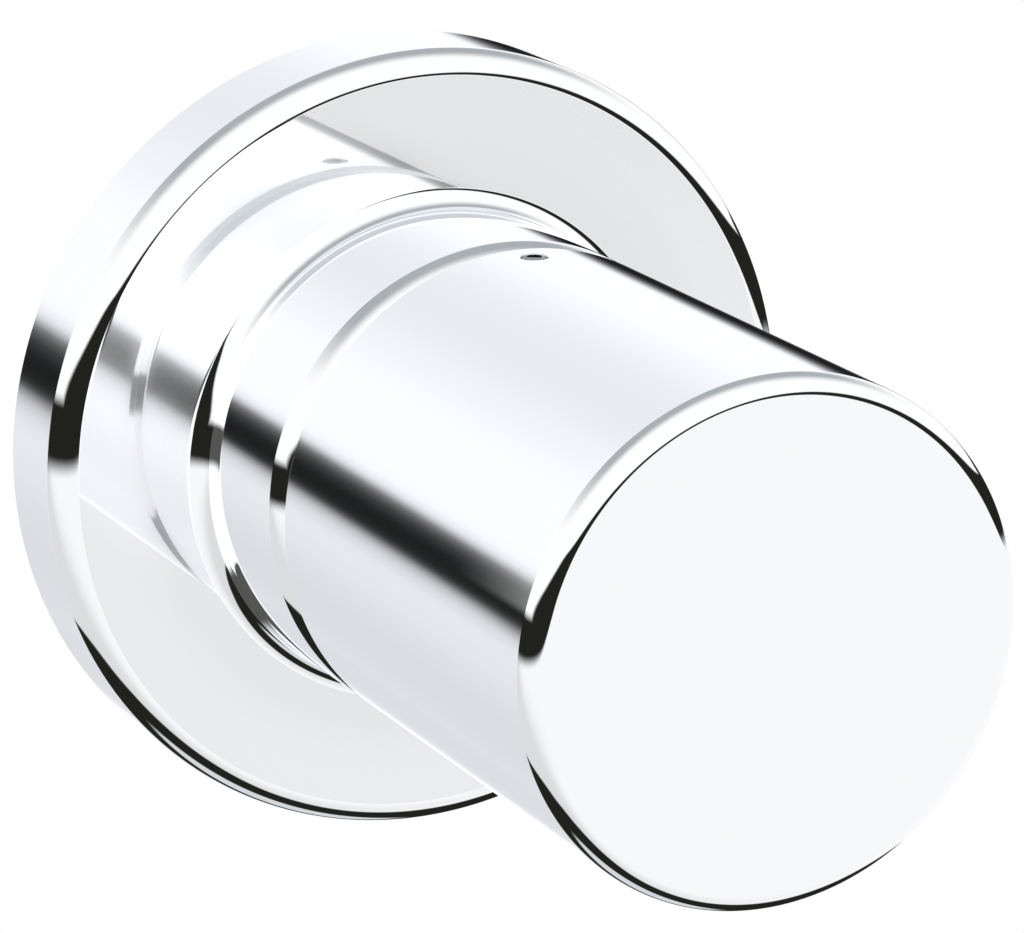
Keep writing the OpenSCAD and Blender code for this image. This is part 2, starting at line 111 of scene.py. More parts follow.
class ValveFinishes(bpy.types.PropertyGroup):
    """Colours of the valve's finishes."""
    chrome: colour("Chrome", "Colour of the chrome plating", (0.93, 0.935, 0.94))
    cast_brass: colour("Cast brass", "Colour of the raw casting", (0.70, 0.49, 0.23))
    turned_brass: colour("Turned brass", "Colour of machined brass", (0.86, 0.66, 0.33))
    steel: colour("Steel", "Colour of the stainless pieces", (0.62, 0.62, 0.63))
    dark_steel: colour("Dark steel", "Colour of the grub screw", (0.20, 0.20, 0.21))
    plastic: colour("Plastic", "Colour of the moulded plastic pieces", (0.80, 0.80, 0.78))
    rubber: colour("Rubber", "Colour of the seals", (0.02, 0.02, 0.02))
    foam: colour("Foam", "Colour of the rosette's foam seal", (0.09, 0.09, 0.095))
    fibre: colour("Fibre", "Colour of the fibre gasket", (0.32, 0.07, 0.045))


# Surfaces turned about the handle's axis

def outline(corners, steps=20):
    """Profile through corners (radius, station, edge radius), each corner rounded by its edge radius.

    A rounding is the arc that touches both sides. Its reach along a side is the edge radius times the
    tangent of half the turn. The material lies to the left of the way, so an outward normal is the way
    turned a quarter to the right. Gives the points and, for each point, the normal before and after it.
    """
    spots = np.array([corner[:2] for corner in corners], float)
    ways = np.diff(spots, axis=0)
    ways /= np.hypot(ways[:, 0], ways[:, 1])[:, None]
    sides = np.column_stack([ways[:, 1], -ways[:, 0]])
    points = [spots[:1]]
    normals = [np.array([[sides[0], sides[0]]])]
    for index in range(1, len(corners) - 1):
        before, after = ways[index - 1], ways[index]
        turn = math.atan2(before[0] * after[1] - before[1] * after[0], before @ after)
        edge = corners[index][2]
        if edge <= 0:
            points.append(spots[index:index + 1])
            normals.append(np.array([[sides[index - 1], sides[index]]]))
            continue
        swing = np.linspace(0, turn, steps + 1)[:, None]
        spokes = np.cos(swing) * sides[index - 1] + np.sin(swing) * before
        outward = math.copysign(edge, turn)
        centre = spots[index] - edge * math.tan(abs(turn) / 2) * before - outward * sides[index - 1]
        points.append(centre + outward * spokes)
        normals.append(np.stack([spokes, spokes], axis=1))
    points.append(spots[-1:])
    normals.append(np.array([[sides[-1], sides[-1]]]))
    return np.concatenate(points), np.concatenate(normals)


def closed(corners):
    """The corners as a full loop, from the middle of the first side round to it again."""
    middle = [(corners[0][axis] + corners[1][axis]) / 2 for axis in (0, 1)]
    return [(*middle, 0.0), *corners[1:], corners[0], (*middle, 0.0)]


def spun(normal, cos, sin):
    """A profile's normal (along the radius, along the station) at every angle, as rows of x, y, z."""
    return np.column_stack([normal[0] * cos, np.full(len(cos), -normal[1]), normal[0] * sin])


def strip_between(first, second, first_normals, second_normals):
    """Closed strip of four-sided faces from one ring of vertex numbers to the next, with corner normals."""
    after = np.roll(np.arange(len(first)), -1)
    faces = np.column_stack([first, first[after], second[after], second])
    shading = np.stack([first_normals, first_normals[after], second_normals[after], second_normals], axis=1)
    return faces, shading


def turned(points, normals, columns, is_loop):
    """Surface swept by a profile about the handle's axis.

    Point (r, s) at angle t lies at x = r cos t, y = -s, z = r sin t. A point on the axis becomes one
    vertex, and a loop ends on its first ring. Gives the vertices, the rings of vertex numbers, and a
    strip of faces with corner normals for each stretch of the profile.
    """
    angles = np.arange(columns) * (2 * math.pi / columns)
    cos, sin = np.cos(angles), np.sin(angles)
    vertices = []
    rings = []
    total = 0
    for radius, station in points[:-1] if is_loop else points:
        on_axis = radius < 1e-9
        number = 1 if on_axis else columns
        ring = np.column_stack([radius * cos, np.full(columns, -station), radius * sin])
        vertices.append(ring[:number])
        rings.append(np.full(columns, total) if on_axis else total + np.arange(columns))
        total += number
    if is_loop:
        rings.append(rings[0])
    strips = [strip_between(rings[index], rings[index + 1],
                            spun(normals[index][1], cos, sin), spun(normals[index + 1][0], cos, sin))
              for index in range(len(points) - 1)]
    return np.concatenate(vertices), rings, strips


def make_piece(name, vertices, strips, material, crease=None):
    """New object at the origin from strips of faces, each with a normal for every corner.

    With a crease angle the normals are worked out from the faces instead, sharp where they turn more.
    """
    faces = np.concatenate([strip[0] for strip in strips])
    shading = np.concatenate([strip[1] for strip in strips])
    keep = faces != np.roll(faces, 1, axis=1)
    faces_kept = [row[mask].tolist() for row, mask in zip(faces, keep)]
    mesh = bpy.data.meshes.new(name)
    mesh.from_pydata(vertices.tolist(), [], faces_kept)
    mesh.update()
    mesh.shade_smooth()
    if crease is None:
        mesh.normals_split_custom_set(shading[keep].tolist())
    else:
        mesh.set_sharp_from_angle(angle=math.radians(crease))
    mesh.materials.append(material)
    piece = bpy.data.objects.new(name, mesh)
    bpy.context.scene.collection.objects.link(piece)
    return piece


def turned_piece(name, corners, columns, material):
    """A piece that is wholly turned: its closed outline swept about the handle's axis."""
    points, normals = outline(closed(corners))
    vertices, _, strips = turned(points, normals, columns, True)
    return make_piece(name, vertices, strips, material)


def flat_block(corners):
    """Six flat faces of a block from its eight corners.

    The low end's corners come first, and each end's run counter-clockwise from above.
    """
    order = np.array([(0, 3, 2, 1), (4, 5, 6, 7), (0, 1, 5, 4), (1, 2, 6, 5), (2, 3, 7, 6), (3, 0, 4, 7)])
    spots = corners[order]
    facing = np.cross(spots[:, 1] - spots[:, 0], spots[:, 3] - spots[:, 0])
    facing /= np.linalg.norm(facing, axis=1)[:, None]
    return order, np.repeat(facing[:, None], 4, axis=1)


def window(rings, first_row, rows, first_column, columns):
    """Border of a rectangle of grid faces as a closed loop of vertex numbers, clockwise over (x, station)."""
    patch = np.array([ring[first_column:first_column + columns + 1]
                      for ring in rings[first_row:first_row + rows + 1]])
    return np.concatenate([patch[0, :-1], patch[:-1, -1], patch[-1, :0:-1], patch[:0:-1, 0]])


def seat(piece, body, slot, *nodes):
    """The piece rides on its body and stands for its CAD nodes; slot is not used."""
    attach(piece, body)
    if nodes:
        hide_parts(*nodes)


# Shader nodes

TURN = 180.0


class Wiring:
    """Short calls that add a node to a tree and give back its output."""

    def __init__(self, tree):
        self.tree = tree
        tree.nodes.clear()

    def add(self, kind, **settings):
        """New node of that kind with its settings."""
        node = self.tree.nodes.new(kind)
        for name, value in settings.items():
            setattr(node, name, value)
        return node

    def plug(self, value, socket):
        """Links an output to the socket, or sets the socket to a plain value."""
        if isinstance(value, bpy.types.NodeSocket):
            self.tree.links.new(value, socket)
        else:
            socket.default_value = value

    def math(self, operation, first, second=0.0):
        """One sum of two values."""
        node = self.add("ShaderNodeMath", operation=operation)
        self.plug(first, node.inputs[0])
        self.plug(second, node.inputs[1])
        return node.outputs[0]

    def fade(self, value, low, high, start=0.0, end=1.0):
        """Smooth change from start to end as value goes from low to high."""
        node = self.add("ShaderNodeMapRange", interpolation_type="SMOOTHSTEP")
        for name, number in (("Value", value), ("From Min", low), ("From Max", high),
                             ("To Min", start), ("To Max", end)):
            self.plug(number, node.inputs[name])
        return node.outputs["Result"]

    def mix(self, share, first, second):
        """Colour that goes from first to second as share goes from 0 to 1."""
        node = self.add("ShaderNodeMix", data_type="RGBA")
        self.plug(share, node.inputs[0])
        self.plug(first, node.inputs[6])
        self.plug(second, node.inputs[7])
        return node.outputs[2]

    def times(self, first, *others):
        """Product of the values."""
        for other in others:
            first = self.math("MULTIPLY", first, other)
        return first

    def step(self, value, edge, half):
        """Smooth step from 0 to 1 that reaches half to either side of the edge."""
        return self.fade(value, self.math("SUBTRACT", edge, half), self.math("ADD", edge, half))

    def squares(self, first, second):
        """Sum of the squares of two values."""
        return self.math("ADD", self.times(first, first), self.times(second, second))

    def diagonal(self, first, second):
        """Length of the diagonal over two sides at a right angle."""
        return self.math("SQRT", self.squares(first, second))

    def angle(self, first, second):
        """Angle in degrees whose tangent is first over second."""
        return self.times(self.math("ARCTAN2", first, second), math.degrees(1))

    def parts(self, kind):
        """The x, y and z of that texture coordinate."""
        split = self.add("ShaderNodeSeparateXYZ")
        self.plug(self.add("ShaderNodeTexCoord").outputs[kind], split.inputs[0])
        return split.outputs

    def curve(self, turn, points, low=-TURN, high=TURN):
        """Smooth curve through points of an angle from -180 to 180 degrees and a level from low to high."""
        node = self.add("ShaderNodeFloatCurve")
        line = node.mapping.curves[0]
        scaled = [((x + TURN) / (2 * TURN), (y - low) / (high - low)) for x, y in points]
        line.points[0].location = scaled[0]
        line.points[1].location = scaled[-1]
        for x, y in scaled[1:-1]:
            line.points.new(x, y)
        node.mapping.update()
        share = self.math("DIVIDE", self.math("ADD", turn, TURN), 2 * TURN)
        self.plug(share, node.inputs["Value"])
        return self.math("ADD", self.times(node.outputs["Value"], high - low), low)


def grey(level):
    """Linear light of a display grey from 0 to 255."""
    share = level / 255
    return share / 12.92 if share <= 0.04045 else ((share + 0.055) / 1.055) ** 2.4


def tint(red, green, blue):
    """Linear colour of a display colour from 0 to 255."""
    return (grey(red), grey(green), grey(blue), 1.0)


def shaded(base, share=1.0):
    """A linear colour times a share, with its alpha."""
    return (*(share * channel for channel in base), 1.0)


# Studio that the chrome mirrors

DARK = tint(33, 34, 29)
WHITE = (1.0, 1.0, 1.0, 1.0)
BLACK = (0.0, 0.0, 0.0, 1.0)
COOL_WHITE = (0.97, 0.99, 1.03, 1.0)
MATT_LIGHT = (0.62, 0.63, 0.65, 1.0)
ROOM_LIGHT = tint(247, 248, 250)
FLOOR_LEFT = tint(220, 220, 222)
FLOOR_RIGHT = tint(250, 250, 251)
CEILING_GREY = tint(170, 175, 179)
GAP_GREY = tint(212, 216, 220)
FLAT_TILT = 4.2
SECOND_DEPTH = 2.5
SECOND_WHITE = 0.05
SECOND_LIFT = 0.5
MIRROR_LIFT = 0.07


def studio_map(wires, twice):
    """Colours of the studio round the valve, as a mirror on the valve would show them.

    A direction's place is given in degrees as on a map centred straight out of the wall: the distance
    from the centre is the angle from straight out, the map's right is +X and its top is +Z. What has
    been mirrored twice sees the half of the map round the wall, whichever way it goes, and a little
    lighter, so that an image looks like its object.
    """
    across, out, up = wires.parts("Generated")
    out = wires.math("ADD", wires.times(twice, wires.math("ABSOLUTE", out)),
                     wires.times(wires.math("SUBTRACT", 1.0, twice), out))
    sideways = wires.diagonal(across, up)
    away = wires.angle(sideways, wires.times(out, -1.0))
    stretch = wires.math("DIVIDE", away, wires.math("MAXIMUM", sideways, 1e-6))
    x = wires.times(across, stretch)
    z = wires.times(up, stretch)
    clock = wires.angle(across, up)
    turn, tilt = facing(wires, across, out, up)

    ground = wires.mix(wires.fade(x, -10.0, 50.0), FLOOR_LEFT, FLOOR_RIGHT)
    light = wires.mix(wires.fade(z, -9.0, -12.0), WHITE, ROOM_LIGHT)
    light = wires.mix(wires.fade(z, -20.0, -48.0), light, ground)
    ceiling = wires.times(wires.fade(away, 72.0, 112.0), wires.fade(away, 149.0, 146.0),
                          wires.fade(wires.math("ABSOLUTE", clock), 70.0, 45.0),
                          wires.fade(turn, -62.0, -38.0))
    light = wires.mix(ceiling, light, CEILING_GREY)
    dark, gap = edge_lines(wires, turn, tilt)
    picture = wires.mix(gap, wires.mix(dark, light, DARK), GAP_GREY)

    wall_from = wires.math("ADD", wires.fade(x, -60.0, 40.0, 146.0, 138.0),
                           wires.fade(z, -40.0, -80.0, 0.0, -3.0))
    near_wall = wires.fade(away, wall_from, wires.math("ADD", wall_from, 4.0))
    seen = wires.mix(near_wall, picture, side_light(wires, clock))
    return wires.mix(wires.times(twice, SECOND_WHITE), seen, WHITE)


def facing(wires, across, out, up):
    """Clock angle and tilt from straight out, in degrees, of the surface that mirrors a direction.

    It mirrors the direction to the camera, so it faces half way between it and the way back there.
    """
    level = math.cos(CAMERA_RISE)
    ahead = (-math.sin(CAMERA_TURN) * level, math.cos(CAMERA_TURN) * level, -math.sin(CAMERA_RISE))
    sideways, outward, upward = (wires.math("SUBTRACT", part, share)
                                 for part, share in zip((across, out, up), ahead))
    turn = wires.angle(sideways, upward)
    tilt = wires.angle(wires.diagonal(sideways, upward), wires.times(outward, -1.0))
    return turn, tilt


def edge_lines(wires, turn, tilt):
    """Dark panels as they lie on a rounded front edge, and the light gap in the lower one, both from 0 to 1.

    The upper panel is a thin line along the flat face that widens to the left into a hook and to the
    right out to the edge. The lower panel fills the outer part of the rounding from the lower left to
    the bottom. The curves give the tilt at which a panel starts or ends for each clock angle.
    """
    start = wires.curve(turn, [(-180, 4.2), (0, 4.2), (42, 4.2), (50, 4.6), (62, 7), (70, 12), (76, 22),
                               (82, 40), (180, 40)])
    start = wires.math("MAXIMUM", start, FLAT_TILT)
    reach = wires.curve(turn, [(-180, 60), (-82, 60), (-76, 58), (-73, 52), (-70, 43), (-66, 34), (-63, 29),
                               (-58, 18.5), (-50, 13.5), (-44, 12), (-30, 10), (-10, 9.3), (0, 9.5),
                               (20, 13), (40, 17.5), (51, 22.5), (57, 31), (60, 42), (63, 70), (66, 95),
                               (180, 95)])
    line = wires.times(wires.step(tilt, start, 0.5), wires.fade(wires.math("DIVIDE", tilt, reach), 1.1, 0.9))
    tip = wires.times(wires.fade(turn, -75.8, -78.2), wires.fade(tilt, 3.7, 4.7))
    upper = wires.times(wires.math("MAXIMUM", line, tip), wires.fade(turn, -88.5, -85.0),
                        wires.fade(turn, 80.0, 75.0))
    rim = wires.curve(turn, [(-180, 120), (20, 120), (30, 89), (40, 83), (50, 74), (56, 62), (60, 48),
                             (74, 48), (80, 110), (180, 120)])
    upper = wires.math("MAXIMUM", upper, wires.step(tilt, rim, 2.0))
    low = wires.curve(turn, [(-180, 26), (-168, 26), (-152, 24.5), (-136, 24.5), (-126, 31), (-118.6, 43),
                             (-115, 52), (-111, 72), (-108.5, 92), (-100, 120), (120, 120), (138, 92),
                             (142, 65), (146, 46), (152, 34), (160, 27.5), (180, 26)])
    lower = wires.step(wires.math("DIVIDE", tilt, low), 1.0, 0.06)
    along = wires.math("DIVIDE", wires.math("ADD", turn, 151.0), 21.0)
    depth = wires.math("DIVIDE", wires.math("SUBTRACT", tilt, 53.5), 9.5)
    return wires.math("MAXIMUM", upper, lower), wires.fade(wires.squares(along, depth), 1.25, 0.75)


def side_light(wires, clock):
    """Light that grazes the wall, as a cylinder's side shows it, by its clock angle from up towards +X."""
    levels = [(-180, 224), (-155, 220), (-145, 222), (-125, 232), (-119, 233), (-114, 226), (-109, 200),
              (-105, 124), (-101, 40), (-96, 33), (-92, 50), (-88, 90), (-84, 185), (-80, 243), (-74, 255),
              (-45, 255), (-30, 247), (-18, 242), (0, 236), (20, 239), (40, 249), (52, 255), (80, 255),
              (85, 226), (90, 140), (95, 66), (99, 34), (105, 33), (110, 73), (118, 140), (126, 215),
              (134, 253), (140, 254), (145, 248), (150, 228), (160, 220), (180, 222)]
    light = wires.curve(clock, [(angle, grey(level)) for angle, level in levels], 0.0, 1.0)
    return wires.mix(light, BLACK, COOL_WHITE)


def make_world():
    """White studio for the camera, an even light for matt surfaces and the studio map for mirrors.

    The world reads a ray depth of 2 at the first mirror and of 3 at the second.
    """
    world = bpy.data.worlds.new("studio")
    bpy.context.scene.world = world
    world.use_nodes = True
    wires = Wiring(world.node_tree)
    path = wires.add("ShaderNodeLightPath").outputs
    twice = wires.math("GREATER_THAN", path["Ray Depth"], SECOND_DEPTH)
    plain = wires.mix(path["Is Diffuse Ray"], WHITE, MATT_LIGHT)
    background = wires.add("ShaderNodeBackground")
    wires.plug(wires.mix(path["Is Glossy Ray"], plain, studio_map(wires, twice)), background.inputs["Color"])
    strength = wires.math("ADD", 1.0, wires.times(path["Is Glossy Ray"], MIRROR_LIFT))
    wires.plug(wires.math("ADD", strength, wires.times(twice, SECOND_LIFT)),
               background.inputs["Strength"])
    output = wires.add("ShaderNodeOutputWorld")
    wires.plug(background.outputs[0], output.inputs["Surface"])


# Materials

def new_material(name, metallic=0.0):
    """Empty material with its wiring and a Principled shader on the output."""
    material = bpy.data.materials.new(name)
    material.use_nodes = True
    wires = Wiring(material.node_tree)
    shader = wires.add("ShaderNodeBsdfPrincipled")
    shader.inputs["Metallic"].default_value = metallic
    output = wires.add("ShaderNodeOutputMaterial")
    wires.plug(shader.outputs[0], output.inputs["Surface"])
    return material, wires, shader


def noise(wires, scale, detail=2.0):
    """Noise in space on Object coordinates, with scale in repeats per millimetre."""
    place = wires.add("ShaderNodeTexCoord")
    mapping = wires.add("ShaderNodeMapping")
    mapping.inputs["Scale"].default_value = [scale / MM] * 3
    wires.plug(place.outputs["Object"], mapping.inputs["Vector"])
    texture = wires.add("ShaderNodeTexNoise")
    texture.inputs["Scale"].default_value = 1.0
    texture.inputs["Detail"].default_value = detail
    wires.plug(mapping.outputs[0], texture.inputs["Vector"])
    return texture.outputs["Fac"]


def bump(wires, shader, height, depth):
    """Relief of the given depth in millimetres on the shader."""
    node = wires.add("ShaderNodeBump")
    node.inputs["Strength"].default_value = 1.0
    node.inputs["Distance"].default_value = depth * MM
    wires.plug(height, node.inputs["Height"])
    wires.plug(node.outputs[0], shader.inputs["Normal"])


def chrome_material(finishes):
    """Mirror chrome whose polish varies a little."""
    material, wires, shader = new_material("mirror_chrome", 1.0)
    shader.inputs["Base Color"].default_value = shaded(finishes.chrome)
    wires.plug(wires.fade(noise(wires, 0.15), 0.3, 0.7, 0.012, 0.03), shader.inputs["Roughness"])
    return material


def rosette_material(finishes, face_r, face_station):
    """Chrome whose flat face is brushed softer under a clear mirror coat, with a painted shade that darkens
    the face towards the sleeve's foot, and mirror chrome elsewhere.
    """
    material, wires, shader = new_material("rosette_chrome", 1.0)
    across, out, up = wires.parts("Object")
    radius = wires.diagonal(across, up)
    flat = wires.times(wires.math("LESS_THAN", out, 0.01 * MM - face_station),
                       wires.math("LESS_THAN", radius, face_r))
    # Painted shade: the flat face's colour is up to a tenth darker near the sleeve's foot, fading out over 8
    # mm.
    painted_shade_near_sleeve = wires.fade(radius, SLEEVE_FOOT_R, SLEEVE_FOOT_R + PAINTED_FOOT_SHADE_REACH, PAINTED_FOOT_SHADE, 1.0)
    face_tone_with_painted_shade = wires.mix(painted_shade_near_sleeve, BLACK, shaded(finishes.chrome, BRUSHED_TONE))
    wires.plug(wires.mix(flat, shaded(finishes.chrome), face_tone_with_painted_shade), shader.inputs["Base Color"])
    wires.plug(wires.fade(flat, 0.0, 1.0, 0.02, 0.15), shader.inputs["Roughness"])
    wires.plug(flat, shader.inputs["Coat Weight"])
    shader.inputs["Coat IOR"].default_value = 4.0
    shader.inputs["Coat Roughness"].default_value = 0.02
    return material


BRUSHED_TONE = 0.82
# Painted shade near the sleeve's foot: the colour's share at the foot, then the distance over which it fades
# out.
PAINTED_FOOT_SHADE = 0.9
PAINTED_FOOT_SHADE_REACH = 8 * MM


def brass_material(name, base, roughness, grain, depth):
    """Brass with a colour that wanders a little and a grain of the given size and depth in millimetres."""
    material, wires, shader = new_material(name, 1.0)
    share = wires.fade(noise(wires, 0.12, 4.0), 0.35, 0.7)
    wires.plug(wires.mix(share, shaded(base), shaded(base, 0.78)), shader.inputs["Base Color"])
    wires.plug(wires.fade(noise(wires, 0.5, 3.0), 0.3, 0.7, roughness - 0.07, roughness + 0.07),
               shader.inputs["Roughness"])
    bump(wires, shader, noise(wires, 1 / grain, 3.0), depth)
    return material


def cast_material(finishes):
    """Sand-cast brass with a turned finish on the port and neck faces.

    A place counts as turned where it lies on the port faces' planes or on the neck's face.
    """
    material, wires, shader = new_material("sand_cast_brass", 1.0)
    low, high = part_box("valve_body")
    _, out, up = wires.parts("Object")
    machined = wires.math("MAXIMUM",
                          wires.fade(wires.math("ABSOLUTE", up), high.z - 0.5 * MM, high.z - 0.1 * MM),
                          wires.fade(out, low.y + 0.5 * MM, low.y + 0.1 * MM))
    raw = wires.mix(wires.fade(noise(wires, 0.1, 5.0), 0.3, 0.72), shaded(finishes.cast_brass),
                    shaded(finishes.cast_brass, 0.66))
    wires.plug(wires.mix(machined, raw, shaded(finishes.turned_brass)), shader.inputs["Base Color"])
    rough = wires.fade(noise(wires, 0.6, 3.0), 0.3, 0.7, 0.42, 0.58)
    wires.plug(wires.math("ADD", wires.times(rough, wires.math("SUBTRACT", 1.0, machined)),
                          wires.times(machined, 0.22)), shader.inputs["Roughness"])
    grains = wires.math("ADD", noise(wires, 2.2, 4.0), wires.times(noise(wires, 0.6), 0.8))
    bump(wires, shader, wires.times(wires.math("SUBTRACT", 1.0, machined), grains), 0.12)
    return material


def plain_material(name, base, roughness, grain, depth, metallic=0.0):
    """Plastic, rubber, fibre or steel with a slight variation of tone and a fine grain."""
    material, wires, shader = new_material(name, metallic)
    share = wires.fade(noise(wires, 0.3, 3.0), 0.3, 0.7)
    wires.plug(wires.mix(share, shaded(base), shaded(base, 0.85)), shader.inputs["Base Color"])
    wires.plug(wires.fade(noise(wires, 0.8), 0.3, 0.7, roughness - 0.05, roughness + 0.05),
               shader.inputs["Roughness"])
    bump(wires, shader, noise(wires, 1 / grain, 2.0), depth)
    return material


# Operators

class VALVE_OT_stage(bpy.types.Operator):
    """Camera, studio light, wall panel and floor"""
    bl_idname = "valve.stage"
    bl_label = "Stage"

    def execute(self, context):
        scene = context.scene
        scene.view_settings.view_transform = "Standard"
        make_world()
        aim_camera(scene)
        make_wall_and_floor()
        make_lamps()
        return {"FINISHED"}


CAMERA_LENS = 168.26
CAMERA_TURN = math.radians(-25.77)
CAMERA_RISE = math.radians(16.10)
CAMERA_PLACE = (0.3309, -0.1259, 12.2255)


def aim_camera(scene):
    """Camera at the photograph's angle, placed in rosette radii along its own right, up and back."""
    cos_turn, sin_turn = math.cos(CAMERA_TURN), math.sin(CAMERA_TURN)
    cos_rise, sin_rise = math.cos(CAMERA_RISE), math.sin(CAMERA_RISE)
    right = Vector((cos_turn, sin_turn, 0))
    up = Vector((-sin_turn * sin_rise, cos_turn * sin_rise, cos_rise))
    back = Vector((sin_turn * cos_rise, -cos_turn * cos_rise, sin_rise))
    place = ROSETTE_R * (CAMERA_PLACE[0] * right + CAMERA_PLACE[1] * up + CAMERA_PLACE[2] * back)
    data = bpy.data.cameras.new("camera")
    data.lens = CAMERA_LENS
    data.sensor_width = 36.0
    data.clip_start = 0.01
    data.clip_end = 20.0
    camera = bpy.data.objects.new("camera", data)
    camera.matrix_world = Matrix.Translation(place) @ Matrix((right, up, back)).transposed().to_4x4()
    scene.collection.objects.link(camera)
    scene.camera = camera


def make_panel(name, corners, material):
    """Stage panel with four corners."""
    mesh = bpy.data.meshes.new(name)
    mesh.from_pydata(corners, [], [(0, 1, 2, 3)])
    mesh.materials.append(material)
    panel = bpy.data.objects.new(name, mesh)
    bpy.context.scene.collection.objects.link(panel)
    return panel


def make_wall_and_floor():
    """White wall panel that only the camera sees, from its front, and a pale floor below the valve."""
    wall_material = bpy.data.materials.new("wall_white")
    wall_material.use_nodes = True
    wires = Wiring(wall_material.node_tree)
    geometry = wires.add("ShaderNodeNewGeometry")
    shine = wires.add("ShaderNodeEmission")
    clear = wires.add("ShaderNodeBsdfTransparent")
    blend = wires.add("ShaderNodeMixShader")
    wires.plug(geometry.outputs["Backfacing"], blend.inputs[0])
    wires.plug(shine.outputs[0], blend.inputs[1])
    wires.plug(clear.outputs[0], blend.inputs[2])
    output = wires.add("ShaderNodeOutputMaterial")
    wires.plug(blend.outputs[0], output.inputs["Surface"])
    half = 0.2
    wall = make_panel("wall_panel", [(-half, 0, -half), (half, 0, -half), (half, 0, half), (-half, 0, half)],
                      wall_material)
    for ray in ("diffuse", "glossy", "transmission", "volume_scatter", "shadow"):
        setattr(wall, "visible_" + ray, False)
    floor_material, wires, shader = new_material("floor_pale")
    shader.inputs["Base Color"].default_value = (0.9, 0.9, 0.9, 1.0)
    shader.inputs["Roughness"].default_value = 0.9
    reach, drop = 3.0, -0.2
    floor = make_panel("floor", [(-reach, -reach, drop), (reach, -reach, drop), (reach, reach, drop),
                                 (-reach, reach, drop)], floor_material)
    floor.visible_glossy = False


def make_lamps():
    """Two large soft lamps, from the upper left front and from the right behind, which mirrors don't show."""
    for name, place, power, size in (("key_lamp", (-0.5, -0.7, 0.8), 7.0, 0.6),
                                     ("back_lamp", (0.6, 0.7, 0.7), 5.0, 0.6)):
        data = bpy.data.lights.new(name, "AREA")
        data.energy = power
        data.shape = "DISK"
        data.size = size
        lamp = bpy.data.objects.new(name, data)
        lamp.matrix_world = (Matrix.Translation(place)
                             @ Vector(place).to_track_quat("Z", "Y").to_matrix().to_4x4())
        lamp.visible_glossy = False
        bpy.context.scene.collection.objects.link(lamp)


LIP = 0.15 * MM
FOOT_EDGE = 0.02 * MM
GROOVE_PLAY = 0.1 * MM


class VALVE_OT_rosette(bpy.types.Operator):
    """Pressed rosette with a rounded front edge"""
    bl_idname = "valve.rosette"
    bl_label = "Rosette"

    def execute(self, context):
        sizes = context.scene.valve_trim
        wall, edge, hole = sizes.rosette_wall, sizes.rosette_edge, sizes.rosette_hole
        corners = [(ROSETTE_R, ROSETTE_REAR, LIP), (ROSETTE_R, ROSETTE_FRONT, edge),
                   (hole, ROSETTE_FRONT, LIP), (hole, ROSETTE_FRONT - wall, LIP),
                   (ROSETTE_R - wall, ROSETTE_FRONT - wall, edge - wall),
                   (ROSETTE_R - wall, ROSETTE_REAR, LIP)]
        material = rosette_material(context.scene.valve_finishes, ROSETTE_R - edge, ROSETTE_FRONT)
        piece = turned_piece("rosette_shell", corners, sizes.columns, material)
        piece.visible_glossy = False
        seat(piece, "valve", "chrome", "rosette")
        return {"FINISHED"}


class VALVE_OT_cover_sleeve(bpy.types.Operator):
    """Turned sleeve with a flared foot and a rounded front edge"""
    bl_idname = "valve.cover_sleeve"
    bl_label = "Cover sleeve"

    def execute(self, context):
        sizes = context.scene.valve_trim
        radius, foot, flare = sizes.sleeve_radius, ROSETTE_FRONT, SLEEVE_FOOT_R - sizes.sleeve_radius
        groove_half = sizes.ring_cord / 2 + GROOVE_PLAY
        groove_inner, groove_outer = sizes.ring_radius - groove_half, sizes.ring_radius + groove_half
        cavity_front = SLEEVE_FRONT - sizes.sleeve_flange
        inner = radius - sizes.sleeve_wall
        corners = [(SLEEVE_FOOT_R, foot, 0), (SLEEVE_FOOT_R, foot + FOOT_EDGE, 0),
                   (radius, foot + FOOT_EDGE, flare), (radius, SLEEVE_FRONT, sizes.sleeve_edge),
                   (sizes.sleeve_opening, SLEEVE_FRONT, LIP), (sizes.sleeve_opening, cavity_front, LIP),
                   (inner, cavity_front, LIP), (inner, foot + sizes.sleeve_floor, LIP),
                   (sizes.hub_bore, foot + sizes.sleeve_floor, LIP), (sizes.hub_bore, SLEEVE_REAR, LIP),
                   (sizes.hub_radius, SLEEVE_REAR, LIP), (sizes.hub_radius, foot, 0),
                   (groove_inner, foot, 0), (groove_inner, foot + sizes.ring_cord, 0),
                   (groove_outer, foot + sizes.ring_cord, 0), (groove_outer, foot, 0)]
        piece = turned_piece("cover_sleeve_shell", corners, sizes.columns,
                             chrome_material(context.scene.valve_finishes))
        seat(piece, "valve", "chrome", "cover_sleeve")
        return {"FINISHED"}


